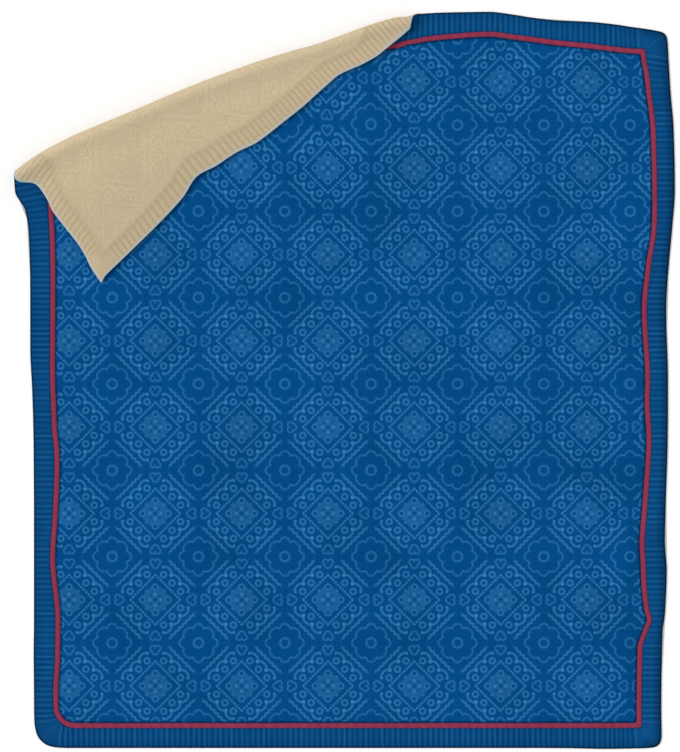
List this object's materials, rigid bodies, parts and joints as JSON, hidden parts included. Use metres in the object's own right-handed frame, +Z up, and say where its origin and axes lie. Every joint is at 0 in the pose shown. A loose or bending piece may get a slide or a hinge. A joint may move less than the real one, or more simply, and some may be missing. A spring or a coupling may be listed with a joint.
{
  "type": "quilt",
  "caption": "Padded bed quilt lying flat, one corner folded over onto the patterned face to show the plain reverse, with a narrow contrast band inside a ribbed, mitred border.",
  "frame": {"origin": "middle of the quilt's underside, where it lies on the surface", "axes": "+Z up, +Y along the length towards the end with the folded corner, +X across the width to the right as seen from above"},
  "size_m": [2.1146, 2.3588, 0.0523],
  "materials": {
    "face": "matte printed cotton",
    "band": "matte cotton",
    "border": "matte ribbed cotton",
    "reverse": "matte cotton"
  },
  "bodies": {
    "root": {"centre_panel": "face", "band_top": "band", "band_right": "band", "band_bottom": "band", "band_left": "band", "border_top": "border", "border_right": "border", "border_bottom": "border", "border_left": "border", "backing": "reverse"}
  },
  "joints": []
}
